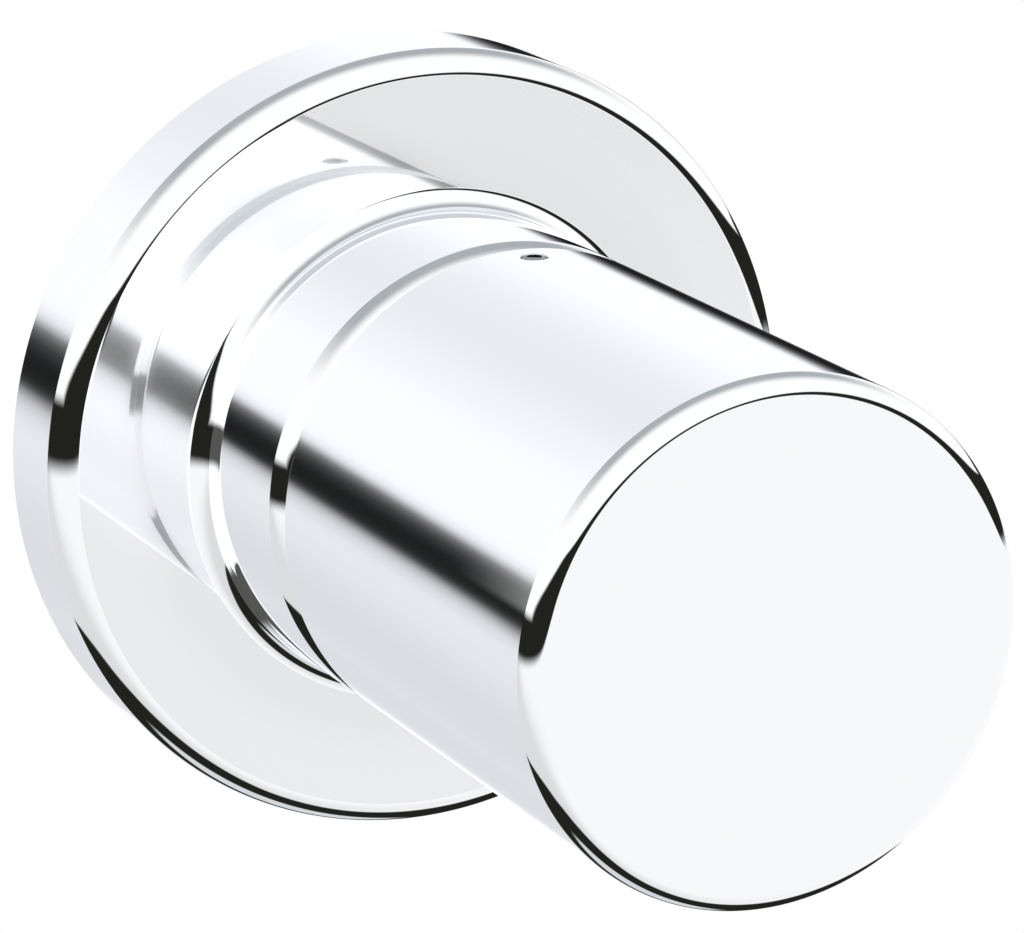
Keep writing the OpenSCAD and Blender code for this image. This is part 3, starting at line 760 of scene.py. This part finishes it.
class VALVE_OT_handle(bpy.types.Operator):
    """Hollow cylinder handle with a closed front and the grub screw's hole"""
    bl_idname = "valve.handle"
    bl_label = "Handle"

    def execute(self, context):
        sizes = context.scene.valve_trim
        inner = HANDLE_R - sizes.handle_wall
        floor = HANDLE_FRONT - sizes.handle_wall
        cut = sizes.handle_break
        hole_at = HANDLE_REAR + sizes.grub_inset
        stations = hole_at + np.linspace(-HOLE_WINDOW, HOLE_WINDOW, HOLE_ROWS + 1)
        corners = [(0, floor, 0), (inner, floor, 0.5 * MM),
                   *((inner, station, 0) for station in stations[::-1]), (inner, HANDLE_REAR, 0),
                   (HANDLE_R - cut, HANDLE_REAR, 0.1 * MM), (HANDLE_R, HANDLE_REAR + cut, 0.1 * MM),
                   *((HANDLE_R, station, 0) for station in stations),
                   (HANDLE_R, HANDLE_FRONT, sizes.handle_edge), (0, HANDLE_FRONT, 0)]
        points, normals = outline(corners, 24)
        vertices, rings, strips = turned(points, normals, sizes.columns, False)
        vertices, strips = drill(vertices, rings, strips, points, stations, inner, sizes)
        for quarter in range(4):
            block = key_block(math.radians(45 + 90 * quarter), inner)
            faces, facing = flat_block(block)
            strips.append((faces + len(vertices), facing))
            vertices = np.concatenate([vertices, block])
        piece = make_piece("handle_shell_skin", vertices, strips,
                           chrome_material(context.scene.valve_finishes))
        seat(piece, "handle", "chrome", "handle_shell")
        return {"FINISHED"}


HOLE_WINDOW = 2.25 * MM
HOLE_ROWS = 12
HOLE_ROUND = 0.1 * MM
KEY_HALF_WIDTH = 1.2 * MM
KEY_HEIGHT = 1.2 * MM
KEY_ROOT = 0.5 * MM
KEY_INSET = 0.6 * MM
KEY_LENGTH = 15 * MM


def key_block(angle, inner):
    """Corners of one key on the handle's inner wall, along the moulded insert's length."""
    rear = HANDLE_REAR + KEY_INSET
    front = rear + KEY_LENGTH
    out = np.array([math.cos(angle), 0, math.sin(angle)])
    along = np.array([-math.sin(angle), 0, math.cos(angle)])
    axis = np.array([0, -1, 0])
    ends = []
    for station in (rear, front):
        for reach, side in ((inner - KEY_HEIGHT, -1), (inner + KEY_ROOT, -1), (inner + KEY_ROOT, 1),
                            (inner - KEY_HEIGHT, 1)):
            ends.append(reach * out + side * KEY_HALF_WIDTH * along + station * axis)
    return np.array(ends)


def drill(vertices, rings, strips, points, stations, inner, sizes):
    """Cuts the grub screw's round hole through the top of the handle's wall.

    The grid's faces in a window over the hole are left out on both walls. One sheet of rings then runs
    from the outer window's border in to the hole's rounded edge, down its wall and out to the inner
    window's border. On each wall a ring's points lie on the cylinder, between the border and the circle.
    """
    columns = sizes.columns
    hole = sizes.grub_radius
    centre = 0.5 * (stations[0] + stations[-1])
    half = round(math.asin(HOLE_WINDOW / HANDLE_R) * columns / (2 * math.pi))
    first_column = columns // 4 - half
    radii, heights = points[:, 0], points[:, 1]
    on_outer = np.flatnonzero(np.isclose(radii, HANDLE_R) & np.isclose(heights, stations[0]))[-1]
    on_inner = np.flatnonzero(np.isclose(radii, inner) & np.isclose(heights, stations[-1]))[0]
    strips = list(strips)
    for row in [*range(on_outer, on_outer + HOLE_ROWS), *range(on_inner, on_inner + HOLE_ROWS)]:
        faces, shading = strips[row]
        kept = np.ones(len(faces), bool)
        kept[first_column:first_column + 2 * half] = False
        strips[row] = (faces[kept], shading[kept])
    outer_border = window(rings, on_outer, HOLE_ROWS, first_column, 2 * half)
    inner_rings = rings[on_inner:on_inner + HOLE_ROWS + 1][::-1]
    inner_border = window(inner_rings, 0, HOLE_ROWS, first_column, 2 * half)
    edge = vertices[outer_border]
    turn_to_top = np.arctan2(edge[:, 0], edge[:, 2])
    swing = np.arctan2(-edge[:, 1] - centre, turn_to_top * HANDLE_R)
    cos, sin = np.cos(swing), np.sin(swing)
    to_axis = np.column_stack([-cos, sin, np.zeros(len(swing))])

    def from_axis(radius, angle, height):
        """Points on a wall by their angle from the top, with their directions away from the axis."""
        away = np.column_stack([np.sin(angle), np.zeros(len(angle)), np.cos(angle)])
        spot = radius * away
        spot[:, 1] = height
        return spot, away

    def on_wall(radius, reach):
        """Points of a circle of that reach on a wall, with their directions away from the axis."""
        return from_axis(radius, np.arcsin(reach * cos / radius), -(centre + reach * sin))

    def sheet(border, radius, reach, steps):
        """Rings from a window's border in to the circle, on the wall."""
        target, _ = on_wall(radius, reach)
        start_angle = np.arctan2(border[:, 0], border[:, 2])
        end_angle = np.arctan2(target[:, 0], target[:, 2])
        return [from_axis(radius, start_angle + share * (end_angle - start_angle),
                          border[:, 1] + share * (target[:, 1] - border[:, 1]))
                for share in np.linspace(0, 1, steps + 1)[1:]]

    outer_rim = edge / HANDLE_R
    outer_rim[:, 1] = 0
    chain = [(edge, outer_rim, outer_border)]
    chain += [(spot, away, None) for spot, away in sheet(edge, HANDLE_R, hole + HOLE_ROUND, 3)]
    for turn in np.radians([22.5, 45, 67.5, 90]):
        spot, away = on_wall(HANDLE_R, hole + HOLE_ROUND * (1 - math.sin(turn)))
        spot[:, 2] -= HOLE_ROUND * (1 - math.cos(turn))
        chain.append((spot, math.cos(turn) * away + math.sin(turn) * to_axis, None))
    spot, away = on_wall(inner, hole)
    chain.append((spot, to_axis, None))
    chain.append((spot, -away, None))
    inner_edge = vertices[inner_border]
    backwards = [(spot, -away, None) for spot, away in sheet(inner_edge, inner, hole, 2)[:-1]]
    inner_rim = -inner_edge / inner
    inner_rim[:, 1] = 0
    chain += backwards[::-1] + [(inner_edge, inner_rim, inner_border)]

    total = len(vertices)
    added = []
    numbers = []
    for place, (spot, _, border) in enumerate(chain):
        if border is not None:
            numbers.append(border)
        elif place and spot is chain[place - 1][0]:
            numbers.append(numbers[-1])
        else:
            numbers.append(total + np.arange(len(spot)))
            added.append(spot)
            total += len(spot)
    for place in range(len(chain) - 1):
        if numbers[place] is not numbers[place + 1]:
            strips.append(strip_between(numbers[place], numbers[place + 1],
                                        chain[place][1], chain[place + 1][1]))
    return np.concatenate([vertices, *added]), strips


def threaded(corners, wall, thread, columns, is_inner):
    """Closed turned piece with a round-edged helical thread on one of its walls.

    On the wall's rows, at angle t and station s, the radius moves by the thread's depth times a wave of
    the phase s / pitch - t / (one turn). The wave is a triangle with rounded tips. It fades in and out
    over one pitch at the wall's ends. Give wall as (radius, from, to) and thread as (pitch, depth).
    """
    radius, start, end = wall
    pitch, depth = thread
    points, normals = outline(closed(corners), 4)
    vertices, rings, strips = turned(points, normals, columns, True)
    angles = np.arange(columns) * (2 * math.pi / columns)
    on_wall = np.isclose(points[:-1, 0], radius)
    stations = points[:-1, 1]
    low, high = min(start, end), max(start, end)
    for ring, station in zip([rings[i] for i in np.flatnonzero(on_wall)], stations[on_wall]):
        phase = 2 * math.pi * station / pitch - angles
        wave = 0.5 - np.arcsin(0.97 * np.sin(phase)) / (2 * math.asin(0.97))
        fade = np.clip(min(station - low, high - station) / (0.8 * pitch), 0, 1)
        shift = depth * wave * fade if is_inner else -depth * (1 - (1 - wave) * fade)
        spot = vertices[ring]
        spot[:, 0] = (radius + shift) * np.cos(angles)
        spot[:, 2] = (radius + shift) * np.sin(angles)
        vertices[ring] = spot
    return vertices, strips


class VALVE_OT_threads(bpy.types.Operator):
    """Threaded tube behind the rosette and the threads in the two pipe ports"""
    bl_idname = "valve.threads"
    bl_label = "Threads"

    def execute(self, context):
        finishes = context.scene.valve_finishes
        brass = brass_material("thread_brass", finishes.turned_brass, 0.24, 0.1, 0.003)
        self.port_threads(brass)
        self.tube(brass)
        return {"FINISHED"}

    def port_threads(self, brass):
        """A ring in each port with the pipe thread inside and a chamfered mouth."""
        low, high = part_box("valve_body")
        for name, side in (("outlet_thread", 1), ("inlet_thread", -1)):
            mouth = high.z if side > 0 else -low.z
            end = mouth - PORT_DEPTH
            rows = np.linspace(mouth - PORT_CHAMFER, end, round(PORT_DEPTH / PORT_PITCH * 18))
            corners = [(PORT_OUTER_R, end, 0), (PORT_OUTER_R, mouth, 0.1 * MM),
                       (PORT_R + PORT_CHAMFER, mouth, 0.1 * MM), *((PORT_R, station, 0) for station in rows)]
            vertices, strips = threaded(corners, (PORT_R, end, mouth - PORT_CHAMFER),
                                        (PORT_PITCH, PORT_THREAD), 120, True)
            turned_over = np.column_stack([vertices[:, 0], PORT_AXIS_Y + side * vertices[:, 2],
                                           -side * vertices[:, 1]])
            piece = make_piece(name, turned_over, strips, brass, crease=50)
            seat(piece, "valve", "turned_brass")

    def tube(self, brass):
        """The tube that carries the cover sleeve, with its fine outer thread and its front slot."""
        radius, rear, front = turned_size("threaded_sleeve")
        rows = np.linspace(rear + 0.3 * MM, front - 0.3 * MM, round((front - rear) / TUBE_PITCH * 12))
        step = TUBE_STEP_STATION
        corners = [(radius - TUBE_THREAD, rear, 0), (radius - TUBE_THREAD, rear + 0.15 * MM, 0),
                   *((radius, station, 0) for station in rows),
                   (radius - TUBE_THREAD, front, 0), (TUBE_BORE, front, 0.2 * MM), (TUBE_BORE, step, 0),
                   (TUBE_REAR_BORE, step, 0), (TUBE_REAR_BORE, rear, 0.2 * MM)]
        vertices, strips = threaded(corners, (radius, rows[0], rows[-1]), (TUBE_PITCH, TUBE_THREAD), 150,
                                    False)
        piece = make_piece("threaded_tube", vertices, strips, brass, crease=40)
        cut_slot(piece, radius, front)
        seat(piece, "valve", "turned_brass", "threaded_sleeve")


PORT_AXIS_Y = 44 * MM
PORT_DEPTH = 14 * MM
PORT_R = 9.315 * MM
PORT_THREAD = 1.16 * MM
PORT_PITCH = 1.814 * MM
PORT_CHAMFER = 1.3 * MM
PORT_OUTER_R = 11.0 * MM
TUBE_PITCH = 1.5 * MM
TUBE_THREAD = 0.8 * MM
TUBE_BORE = 10 * MM
TUBE_REAR_BORE = 12.08 * MM
TUBE_STEP_STATION = -1 * MM
TUBE_SLOT = (3 * MM, 2 * MM)


def cut_slot(piece, radius, front):
    """Cuts the slot across the tube's front with a block, by an exact difference that is then applied."""
    width, depth = TUBE_SLOT
    block = np.array([(x, y, z) for z in (-width / 2, width / 2)
                      for x, y in ((-2 * radius, -front - depth), (2 * radius, -front - depth),
                                   (2 * radius, -front + depth), (-2 * radius, -front + depth))])
    faces, facing = flat_block(block)
    cutter = make_piece("slot_cutter", block, [(faces, facing)], piece.data.materials[0])
    difference = piece.modifiers.new("slot", "BOOLEAN")
    difference.operation = "DIFFERENCE"
    difference.solver = "EXACT"
    difference.object = cutter
    apply_modifiers(piece)
    piece.data.set_sharp_from_angle(angle=math.radians(40))
    bpy.data.objects.remove(cutter)


def apply_modifiers(piece):
    """Bakes the piece's modifiers into its mesh."""
    graph = bpy.context.evaluated_depsgraph_get()
    finished = bpy.data.meshes.new_from_object(piece.evaluated_get(graph))
    piece.modifiers.clear()
    piece.data = finished


class VALVE_OT_casting(bpy.types.Operator):
    """Cast body with soft fillets and a sand-cast skin"""
    bl_idname = "valve.casting"
    bl_label = "Casting"

    def execute(self, context):
        finishes = context.scene.valve_finishes
        source = frame["nodes"]["valve_body"]
        work = bmesh.new()
        work.from_mesh(source.data)
        bmesh.ops.remove_doubles(work, verts=work.verts, dist=1e-6)
        mesh = bpy.data.meshes.new("valve_casting")
        work.to_mesh(mesh)
        work.free()
        mesh.transform(source.matrix_world)
        widen_ports(mesh)
        piece = bpy.data.objects.new("valve_casting", mesh)
        context.scene.collection.objects.link(piece)
        remesh = piece.modifiers.new("even_skin", "REMESH")
        remesh.mode = "VOXEL"
        remesh.voxel_size = CAST_STEP
        apply_modifiers(piece)
        soften(piece.data)
        piece.data.shade_smooth()
        piece.data.materials.clear()
        piece.data.materials.append(cast_material(finishes))
        seat(piece, "valve", "cast_brass", "valve_body")
        return {"FINISHED"}


CAST_STEP = 0.55 * MM
CAST_ROUNDS = 14


def corners_of(mesh):
    """The mesh's vertices as rows of x, y, z."""
    flat = np.empty(3 * len(mesh.vertices))
    mesh.vertices.foreach_get("co", flat)
    return flat.reshape(-1, 3)


def widen_ports(mesh):
    """Moves the wall of each port's bore out to the thread ring's outer radius."""
    spots = corners_of(mesh)
    across = np.hypot(spots[:, 0], spots[:, 1] - PORT_AXIS_Y)
    mouth = spots[:, 2].max()
    in_port = np.abs(spots[:, 2]) > mouth - PORT_DEPTH - 0.1 * MM
    on_bore = np.isclose(across, PORT_R, atol=0.03 * MM) & in_port
    grow = np.where(on_bore, PORT_OUTER_R / np.maximum(across, 1e-6), 1.0)
    spots[:, 0] *= grow
    spots[:, 1] = PORT_AXIS_Y + (spots[:, 1] - PORT_AXIS_Y) * grow
    mesh.vertices.foreach_set("co", spots.ravel())
    mesh.update()


def soften(mesh):
    """Rounds the casting's edges and hollows, and leaves its machined faces and bores alone.

    Each round moves a vertex half way to the mean of its neighbours, times a share that is 0 on the
    machined places and rises to 1 over 1.5 mm.
    """
    spots = corners_of(mesh)
    pairs = np.empty(2 * len(mesh.edges), int)
    mesh.edges.foreach_get("vertices", pairs)
    pairs = pairs.reshape(-1, 2)
    ends = np.concatenate([pairs, pairs[:, ::-1]])
    degree = np.bincount(ends[:, 0], minlength=len(spots))
    across = np.hypot(spots[:, 0], spots[:, 1] - PORT_AXIS_Y)
    from_axis = np.hypot(spots[:, 0], spots[:, 2])
    mouth = spots[:, 2].max()
    neck = spots[:, 1].min()
    margin = 1.5 * MM
    free = np.minimum.reduce([
        (mouth - np.abs(spots[:, 2])) / margin,
        (spots[:, 1] - neck) / margin,
        np.maximum((across - PORT_OUTER_R) / margin, (mouth - PORT_DEPTH - np.abs(spots[:, 2])) / margin),
        np.maximum((from_axis - NECK_BORE_R) / margin, (spots[:, 1] - neck - NECK_DEPTH) / margin),
        np.maximum(from_axis - SEAT_R, np.abs(spots[:, 1] - SEAT_Y) - SEAT_HALF) / margin,
    ])
    share = 0.5 * np.clip(free - 0.2, 0, 1)[:, None]
    for _ in range(CAST_ROUNDS):
        total = np.column_stack([np.bincount(ends[:, 0], spots[ends[:, 1], axis], len(spots))
                                 for axis in range(3)])
        spots += share * (total / degree[:, None] - spots)
    mesh.vertices.foreach_set("co", spots.ravel())
    mesh.update()


NECK_BORE_R = 10.6 * MM
NECK_DEPTH = 11 * MM
SEAT_R = 9.4 * MM
SEAT_Y = 44.5 * MM
SEAT_HALF = 3 * MM


class VALVE_OT_inner_finishes(bpy.types.Operator):
    """Finishes of the pieces that keep their construction mesh"""
    bl_idname = "valve.inner_finishes"
    bl_label = "Inner finishes"

    def execute(self, context):
        finishes = context.scene.valve_finishes
        made = {
            "cast_brass": brass_material("cast_brass", finishes.cast_brass, 0.48, 0.5, 0.05),
            "turned_brass": brass_material("turned_brass", finishes.turned_brass, 0.24, 0.1, 0.004),
            "steel": plain_material("bright_steel", finishes.steel, 0.25, 0.1, 0.003, 1.0),
            "dark_steel": plain_material("dark_steel", finishes.dark_steel, 0.35, 0.1, 0.003, 1.0),
            "white_plastic": plain_material("moulded_plastic", finishes.plastic, 0.45, 0.2, 0.01),
            "black_rubber": plain_material("seal_rubber", finishes.rubber, 0.6, 0.1, 0.01),
            "grey_rubber": plain_material("foam_rubber", finishes.foam, 0.85, 0.3, 0.12),
            "fibre": plain_material("pressed_fibre", finishes.fibre, 0.8, 0.15, 0.03),
        }
        frame["nodes"]["rosette_seal"].visible_glossy = False
        for part in frame["record"]["subparts"]:
            node = frame["nodes"][part["node"]]
            if part["material_slot"] in made:
                node.data.materials.clear()
                node.data.materials.append(made[part["material_slot"]])
        return {"FINISHED"}


class VALVE_PT_panel(bpy.types.Panel):
    """Panel in the sidebar that lists the valve's sizes and pieces"""
    bl_label = "Valve"
    bl_idname = "VALVE_PT_panel"
    bl_space_type = "VIEW_3D"
    bl_region_type = "UI"
    bl_category = "Valve"

    def draw(self, context):
        for group in (context.scene.valve_trim, context.scene.valve_finishes):
            for name in group.bl_rna.properties.keys():
                if name not in ("name", "rna_type"):
                    self.layout.prop(group, name)
        for piece in PIECES:
            self.layout.operator(piece.bl_idname)


PIECES = (VALVE_OT_stage, VALVE_OT_rosette, VALVE_OT_cover_sleeve, VALVE_OT_handle, VALVE_OT_threads,
          VALVE_OT_casting, VALVE_OT_inner_finishes)
CLASSES = (ValveTrimSizes, ValveFinishes, *PIECES, VALVE_PT_panel)


def register():
    """Registers the classes and the two groups of settings."""
    for one in CLASSES:
        bpy.utils.register_class(one)
    bpy.types.Scene.valve_trim = PointerProperty(type=ValveTrimSizes)
    bpy.types.Scene.valve_finishes = PointerProperty(type=ValveFinishes)


def unregister():
    """Takes the settings and the classes away again."""
    del bpy.types.Scene.valve_finishes
    del bpy.types.Scene.valve_trim
    for one in reversed(CLASSES):
        bpy.utils.unregister_class(one)


def main():
    """Builds every piece."""
    register()
    bpy.ops.valve.stage()
    bpy.ops.valve.rosette()
    bpy.ops.valve.cover_sleeve()
    bpy.ops.valve.handle()
    bpy.ops.valve.threads()
    bpy.ops.valve.casting()
    bpy.ops.valve.inner_finishes()


if __name__ == "__main__":
    main()
